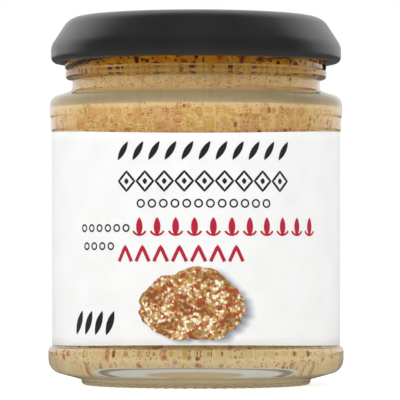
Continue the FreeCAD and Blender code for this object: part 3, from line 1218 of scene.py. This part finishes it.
@dataclass
class TwistCap:
    """The cap: pressed top with its button, slanting shoulder, skirt, rolled edge and lugs."""

    sizes: JarSizes
    steps: int = 360
    plate: float = 0.25
    curl_r: float = 1.4
    skirt_height: float = 3.85
    top_inset: float = 0.1
    channel_width: float = 4.2
    panel_drop: float = 0.7
    panel_slope: float = 1.2
    button_r: float = 8.5
    button_rise: float = 0.35
    button_slope: float = 1.4
    lugs: int = 4
    lug_azimuth: float = 256.0
    lug_half: float = 5.5
    lug_depth: float = 0.72

    def top_side(self, lift: float) -> list[Corner]:
        """Corners of one face of the plate, from its middle to the skirt.

        Args:
            lift: distance of this face over the underside.

        Returns:
            The corners as (radius, height, rounding).
        """
        s = self.sizes
        rim_z = s.cap_top_z - self.plate
        top_r = s.finish_r - self.top_inset - self.plate + lift
        ring_r = s.finish_r - self.top_inset - self.channel_width
        panel_z = rim_z - self.panel_drop
        skirt_r = s.cap_r - self.plate + lift
        return [
            (0, panel_z + self.button_rise + lift, 0),
            (self.button_r, panel_z + self.button_rise + lift, 0.8),
            (self.button_r + self.button_slope, panel_z + lift, 0.8),
            (ring_r - self.panel_slope, panel_z + lift, 0.8),
            (ring_r, rim_z + lift, 0.8),
            (top_r, rim_z + lift, 3.45 + lift * 3.4),
            (skirt_r, s.cap_bottom_z + self.skirt_height + lift * 0.3, 3.25 + lift),
            (skirt_r, s.cap_bottom_z + self.curl_r * (1 if lift else 1.9), 0),
        ]

    @property
    def curl_centre(self) -> tuple[float, float]:
        """Radius and height of the rolled edge's middle."""
        return self.sizes.cap_r - self.curl_r, self.sizes.cap_bottom_z + self.curl_r

    def curl(self) -> Outline:
        """Points round the rolled edge, from the skirt's outside to its inside."""
        centre_r, centre_z = self.curl_centre
        turns = [math.radians(-12 * k) for k in range(1, 22)]
        return [(centre_r + self.curl_r * math.cos(a), centre_z + self.curl_r * math.sin(a)) for a in turns]

    def shape(self, theta: Field, r: Field, z: Field) -> tuple[Field, Field]:
        """Press the rolled edge inwards at each lug."""
        centre_r, centre_z = self.curl_centre
        low = 1 - smooth_step(z, centre_z + 0.5, centre_z + 1.1)
        inner = smooth_step(centre_r - r, -0.7 * self.curl_r, self.curl_r) * low
        pressed = np.zeros_like(r)
        for k in range(self.lugs):
            away = angle_apart(theta, math.radians(self.lug_azimuth + k * 360 / self.lugs))
            dent = 1 - smooth_step(np.degrees(np.abs(away)), self.lug_half * 0.6, self.lug_half * 1.5)
            pressed = np.maximum(pressed, dent)
        squeeze = pressed * inner
        r = r - self.lug_depth * squeeze
        z = centre_z - 0.25 * squeeze + (z - centre_z) * (1 - 0.35 * squeeze)
        return r, z

    def build(self) -> Piece:
        """Make the cap as one closed sheet of steel."""
        over = rounded_outline(self.top_side(self.plate))
        under = rounded_outline(self.top_side(0.0))
        outline = densified(over + self.curl() + under[::-1], lambda r, z: 2.5)
        return dressed(turned("cap_steel", outline, self.steps, self.shape), BlackLacquer().material())


# ------------------------------------------------------------------ label


@dataclass
class PaperLabel:
    """The white paper label, wrapped round the panel with a gap at the back."""

    sizes: JarSizes
    thickness: float = 0.12
    gap: float = 9.0
    margin_top: float = 1.3
    margin_bottom: float = 1.0
    bow_top: float = 1.15
    bow_bottom: float = 0.75
    columns: int = 360
    rows: int = 24
    edge: float = 0.03

    def heights(self, angle: float) -> tuple[float, float]:
        """Lower and upper edge of the paper at an angle from the front."""
        s = self.sizes
        side = math.sin(angle) ** 2
        low = s.panel_base + self.margin_bottom - self.bow_bottom * side
        high = s.panel_top - self.margin_top + self.bow_top * side
        return low, high

    def build(self) -> Piece:
        """Make the paper as a thin closed shell with softened edges."""
        s = self.sizes
        outer = s.label_r
        inner = outer - self.thickness
        half = math.pi - math.asin(self.gap / 2 / outer)
        vertices = []
        for i in range(self.columns + 1):
            angle = -half + 2 * half * i / self.columns
            low, high = self.heights(angle)
            ring = [(inner, low), (outer - self.edge, low), (outer, low + self.edge)]
            ring += [(outer, low + (high - low) * k / self.rows) for k in range(1, self.rows)]
            ring += [(outer, high - self.edge), (outer - self.edge, high), (inner, high)]
            ring += [(inner, high - (high - low) * k / self.rows) for k in range(1, self.rows)]
            vertices += [(r * math.sin(angle), -r * math.cos(angle), z) for r, z in ring]
        count = len(ring)
        faces = ring_faces(self.columns + 1, count)
        faces += [tuple(range(count)), tuple(self.columns * count + k for k in range(count))]
        paper = mesh_object("label_paper", np.array(vertices), faces)
        return dressed(merged(paper), CoatedPaper().material())


class Motif(Enum):
    """Flat shapes that the label's rows repeat."""

    LEAF = "leaf"
    LOZENGE = "lozenge"
    RING = "ring"
    CHEVRON = "chevron"
    POD = "pod"


@dataclass(frozen=True)
class PrintRow:
    """One row of print: its motif, size and place on the label, in millimetres."""

    name: str
    motif: Motif
    black: bool
    count: int
    pitch: float
    width: float
    height: float
    middle: float
    centre_z: float
    flip: bool = False


@dataclass
class LabelPrint:
    """The label's print: rows of small ornaments and a spread of mustard under them."""

    sizes: JarSizes
    lift: float = 0.015
    ink: float = 0.012
    stroke: float = 0.52
    rows: tuple[PrintRow, ...] = (
        PrintRow("print_leaves", Motif.LEAF, True, 11, 3.75, 3.4, 4.3, 1.9, 52.6, True),
        PrintRow("print_lozenges", Motif.LOZENGE, True, 9, 4.45, 3.9, 4.3, 1.9, 45.9),
        PrintRow("print_beads", Motif.RING, True, 12, 2.6, 2.0, 2.0, 1.9, 41.0),
        PrintRow("print_pods", Motif.POD, False, 11, 4.15, 3.5, 4.1, 8.0, 35.9),
        PrintRow("print_chevrons", Motif.CHEVRON, False, 7, 4.2, 3.1, 3.3, -3.6, 29.9),
        PrintRow("print_dashes", Motif.RING, True, 6, 2.4, 1.8, 1.8, -22.0, 35.6),
        PrintRow("print_specks", Motif.RING, True, 4, 2.4, 1.8, 1.8, -23.6, 31.6),
        PrintRow("print_sprig", Motif.LEAF, True, 4, 3.2, 2.9, 5.6, -25.0, 14.6, True),
    )
    spread_x: float = -0.8
    spread_z: float = 18.6
    spread_w: float = 11.4
    spread_h: float = 8.2
    spread_seed: int = 3
    floor_z: float = 10.15

    def strip(self, path: Sequence[tuple[float, float, float]], closed: bool = False) -> tuple[list, list]:
        """A flat band along a path.

        Args:
            path: (x, z, half width) of each point.
            closed: whether the path returns to its start.

        Returns:
            Vertices in the XZ plane and the band's faces.
        """
        vertices, faces = [], []
        count = len(path)
        for i, (x, z, half) in enumerate(path):
            before = path[i - 1] if closed or i else path[i]
            after = path[(i + 1) % count] if closed or i + 1 < count else path[i]
            dx, dz = after[0] - before[0], after[1] - before[1]
            length = math.hypot(dx, dz) or 1.0
            nx, nz = -dz / length * half, dx / length * half
            vertices += [(x + nx, 0.0, z + nz), (x - nx, 0.0, z - nz)]
        for i in range(count if closed else count - 1):
            j = (i + 1) % count
            faces.append((2 * i, 2 * i + 1, 2 * j + 1, 2 * j))
        return vertices, faces

    def spindle(
        self, x: float, z: float, swell: float, power: float = 1.0, runs: int = 12, point: float = 0.03
    ) -> list[Corner]:
        """Path through the middle, pointed at both ends.

        Args:
            x: half its reach along the label.
            z: half its reach in height.
            swell: how much half its width grows to its middle.
            power: under 1 for blunter ends.
            runs: number of runs along it.
            point: half its width at the ends.

        Returns:
            (x, z, half width) of each point.
        """
        path = []
        for k in range(runs + 1):
            t = k / runs
            path.append((x * (2 * t - 1), z * (2 * t - 1), point + swell * math.sin(math.pi * t) ** power))
        return path

    def motif_paths(self, row: PrintRow) -> list[tuple[list, bool]]:
        """Paths that draw a row's motif, each with whether it is closed."""
        w, h, half = row.width / 2, row.height / 2, self.stroke / 2
        if row.motif is Motif.LEAF:
            return [(self.spindle(w * 0.75, h * 0.95, 0.62 * h * 0.5, 0.8, runs=14, point=0.02), False)]
        if row.motif is Motif.LOZENGE:
            corners = [(0, h), (w, 0), (0, -h), (-w, 0)]
            outline = []
            for (x0, z0), (x1, z1) in zip(corners, corners[1:] + corners[:1]):
                outline += [(x0 + (x1 - x0) * k / 5, z0 + (z1 - z0) * k / 5, half) for k in range(5)]
            return [(outline, True), (self.spindle(0.0, h * 0.32, 0.5, runs=6), False)]
        if row.motif is Motif.RING:
            thin = half * 0.7
            turns = [TURN * k / 20 for k in range(20)]
            return [([((w - thin) * math.sin(a), (h - thin) * math.cos(a), thin) for a in turns], True)]
        if row.motif is Motif.CHEVRON:
            arm = [k / 7 for k in range(8)]
            up = [(-w + w * t, -h + 2 * h * t, half * 1.5) for t in arm]
            down = [(w * t, h - 2 * h * t, half * 1.5) for t in arm]
            return [(up[:-1] + down, False)]
        arc = [math.pi * (0.12 + 0.76 * k / 10) for k in range(11)]
        cup = [(w * 0.92 * math.cos(a), -h * 0.2 - h * 0.7 * math.sin(a), half * 0.9) for a in arc]
        return [(self.spindle(0.0, h, 0.42 * w, 0.7), False), (cup, False)]

    def motif(self, row: PrintRow) -> Piece:
        """Draw a row's motif flat, standing in the XZ plane."""
        vertices, faces = [], []
        for path, closed in self.motif_paths(row):
            more, their_faces = self.strip(path, closed)
            faces += [tuple(v + len(vertices) for v in face) for face in their_faces]
            vertices += more
        mesh = bpy.data.meshes.new(row.name + "_motif")
        mesh.from_pydata([tuple(c * MM for c in v) for v in vertices], [], faces)
        return bpy.data.objects.new(mesh.name, mesh)

    def thickened(self, piece: Piece) -> Piece:
        """Give flat print the thickness of its ink, outwards."""
        with opened(piece.data) as bm:
            for face in bm.faces:
                centre = face.calc_center_median()
                if face.normal.dot(Vector((centre.x, centre.y, 0))) < 0:
                    face.normal_flip()
        solid = piece.modifiers.new("ink", "SOLIDIFY")
        solid.thickness = self.ink * MM
        solid.offset = 1.0
        mesh = evaluated(piece)
        piece.modifiers.clear()
        piece.data = mesh
        return piece

    def row(self, row: PrintRow, ink: Material) -> Piece:
        """Print one row of motifs on the label."""
        return self.thickened(row_tree(ink).grown(
            row.name, self.motif(row), Count=row.count, Pitch=row.pitch * MM, Middle=row.middle * MM,
            Height=row.centre_z * MM, Radius=(self.sizes.label_r + self.lift) * MM,
            Flip=math.pi if row.flip else 0.0,
        ))

    def blob(self, name: str, x: float, z: float, w: float, h: float, lift: float) -> Piece:
        """Print a rounded uneven patch.

        Args:
            name: the piece's name.
            x: its middle along the label, from the front.
            z: its middle's height.
            w: half its width.
            h: half its height.
            lift: how far it lies off the paper.

        Returns:
            The patch, wrapped round the label, with "away" noted: 0 in its middle to 1 at its edge.
        """
        rng = np.random.default_rng(self.spread_seed)
        terms = [(n, rng.uniform(0.4, 1) * 0.17 / n**1.15, rng.uniform(0, TURN)) for n in range(2, 34)]
        rings, sides = 14, 180
        radius = self.sizes.label_r + lift
        vertices, away = [], []
        for i in range(rings + 1):
            t = i / rings
            for k in range(sides):
                a = TURN * k / sides
                edge = 1 + sum(size * math.sin(n * a + phase) for n, size, phase in terms)
                px = x + w * t * edge * math.cos(a)
                pz = max(z + h * t * edge * math.sin(a), self.floor_z)
                vertices.append((radius * math.sin(px / radius), -radius * math.cos(px / radius), pz))
                away.append(t)
        patch = mesh_object(name, np.array(vertices), ring_faces(rings + 1, sides))
        note(patch, "away", away)
        return self.thickened(merged(patch, outward=False))

    def build(self) -> list[tuple[Piece, str]]:
        """Print the whole label, each piece with its slot."""
        black = PrintInk("black_ink", linear(28, 26, 28), linear(46, 44, 46)).material()
        red = PrintInk("crimson_ink", linear(184, 4, 44), linear(196, 22, 60)).material()
        pieces = [
            (self.row(row, black if row.black else red), "ink_black" if row.black else "ink_red")
            for row in self.rows
        ]
        x, z, w, h = self.spread_x, self.spread_z, self.spread_w, self.spread_h
        shade = self.blob("print_shade", x + 1.5, z - 0.6, w * 1.12, h * 1.1, self.lift * 0.6)
        pieces.append((dressed(shade, PrintedShade().material()), "paper"))
        spread = self.blob("print_spread", x, z, w, h, self.lift * 2.2)
        pieces.append((dressed(spread, PrintedGrain().material()), "ink_mustard"))
        return pieces


# ------------------------------------------------------------------ stage


@dataclass
class Studio:
    """Plain pale floor, soft light and the camera, in metres; mirrored and bent are what graded takes."""

    distance: float = 0.750
    eye_z: float = 0.0310
    aim_z: float = 0.0422
    aside: float = 0.00091
    lens: float = 294.6
    world_light: float = 0.50
    mirrored: Corner = (0.0, 0.55, 0.08)
    bent: Corner = (0.35, 0.92, 0.12)
    back_grey: float = 0.60
    floor_reach: float = 6.0
    floor_white: float = 0.82
    floor_mirrored: float = 0.20
    floor_glow: float = 0.60
    floor_bent_glow: float = 0.85
    lamps: tuple[tuple[str, Corner, float, float], ...] = (
        ("left", (-0.75, -0.55, 0.55), 0.6, 4.2),
        ("right", (0.8, -0.45, 0.45), 0.6, 3.0),
        ("top", (0.0, -0.15, 0.95), 0.7, 3.8),
    )

    def world(self) -> None:
        """Light the scene all round: seen it is white, mirrored or bent it darkens to the front."""
        world = bpy.data.worlds.new("studio")
        bpy.context.scene.world = world
        world.use_nodes = True
        wiring = Wiring(world.node_tree)
        way = wiring.node("ShaderNodeTexCoord").outputs["Generated"]
        back = wiring.node("ShaderNodeSeparateXYZ", {0: way}).outputs["Y"]
        greyed = wiring.spread(back, 0.95, 0.995, 1.0, self.back_grey)

        def graded(low: float, high: float, darkest: float) -> Socket:
            """Strength that rises from its darkest to 1, and greys again straight behind the jar."""
            return wiring.math("MULTIPLY", wiring.spread(back, low, high, darkest, 1.0), greyed)

        strength = wiring.by_ray("Glossy", self.world_light, graded(*self.mirrored))
        strength = wiring.by_ray("Transmission", strength, graded(*self.bent))
        background = wiring.tree.nodes["Background"].inputs
        wiring.feed(background["Color"], (1.0, 1.0, 1.0))
        wiring.feed(background["Strength"], wiring.by_ray("Camera", strength, 1.0))

    def lamp(self, name: str, place: Vector, size: float, power: float) -> None:
        """Hang a square soft lamp that faces the jar."""
        light = bpy.data.lights.new(name, "AREA")
        light.size = size
        light.energy = power
        lamp = linked(name, light)
        lamp.location = place
        lamp.rotation_euler = (Vector((0, 0, self.aim_z)) - place).to_track_quat("-Z", "Y").to_euler()
        lamp.visible_glossy = False

    def floor(self) -> None:
        """Lay the pale floor, which shows white except in the jar's shadow."""
        reach = self.floor_reach / MM
        corners = np.array([(-reach, -reach, 0), (reach, -reach, 0), (reach, reach, 0), (-reach, reach, 0)])
        shader = Shader("pale_floor")
        bent = shader.math("MULTIPLY", shader.ray("Transmission"), self.floor_bent_glow)
        shader.set(
            Base_Color=shader.by_ray("Glossy", self.floor_white, self.floor_mirrored), Roughness=0.9,
            Specular_IOR_Level=0.0, Emission_Color=(1.0, 1.0, 1.0),
            Emission_Strength=shader.by_ray("Camera", bent, self.floor_glow),
        )
        dressed(mesh_object("floor", corners, [(0, 1, 2, 3)]), shader.material)

    def camera(self) -> None:
        """Set the camera in front of the jar, low, aimed a little upwards."""
        data = bpy.data.cameras.new("camera")
        data.lens = self.lens
        data.clip_start = 0.01
        camera = linked("camera", data)
        camera.location = (self.aside, -self.distance, self.eye_z)
        aim = Vector((self.aside, 0, self.aim_z))
        camera.rotation_euler = (aim - camera.location).to_track_quat("-Z", "Y").to_euler()
        bpy.context.scene.camera = camera

    def build(self) -> None:
        """Set up world, lamps, floor and camera."""
        bpy.context.scene.view_settings.view_transform = "Standard"
        self.world()
        for name, place, size, power in self.lamps:
            self.lamp(name, Vector(place), size, power)
        self.floor()
        self.camera()


# ------------------------------------------------------------------ putting it together


def place(piece: Piece, slot: str, *nodes: str) -> None:
    """Ride a finished piece on the body, hide the CAD nodes it replaces and log its slot.

    Args:
        piece: the finished piece.
        slot: the record's material slot.
        *nodes: CAD nodes that the piece replaces.
    """
    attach(piece, BODY)
    if nodes:
        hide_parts(*nodes)
    log.info("%s: %d faces, slot %s", piece.name, len(piece.data.polygons), slot)


def main() -> None:
    """Build the jar's sub-assemblies in order and set the stage."""
    logging.basicConfig(level=logging.INFO, format="%(name)s: %(message)s")
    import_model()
    sizes = JarSizes.from_frame()
    glass = GlassJar(sizes)
    place(glass.build(), "glass", "glass_jar")
    for piece, slot in MustardFill(sizes, glass).build():
        place(piece, slot, "mustard")
    place(TwistCap(sizes).build(), "cap_black", "lid")
    place(PaperLabel(sizes).build(), "paper", "label")
    for piece, slot in LabelPrint(sizes).build():
        place(piece, slot, "label")
    Studio().build()


if __name__ == "__main__":
    main()
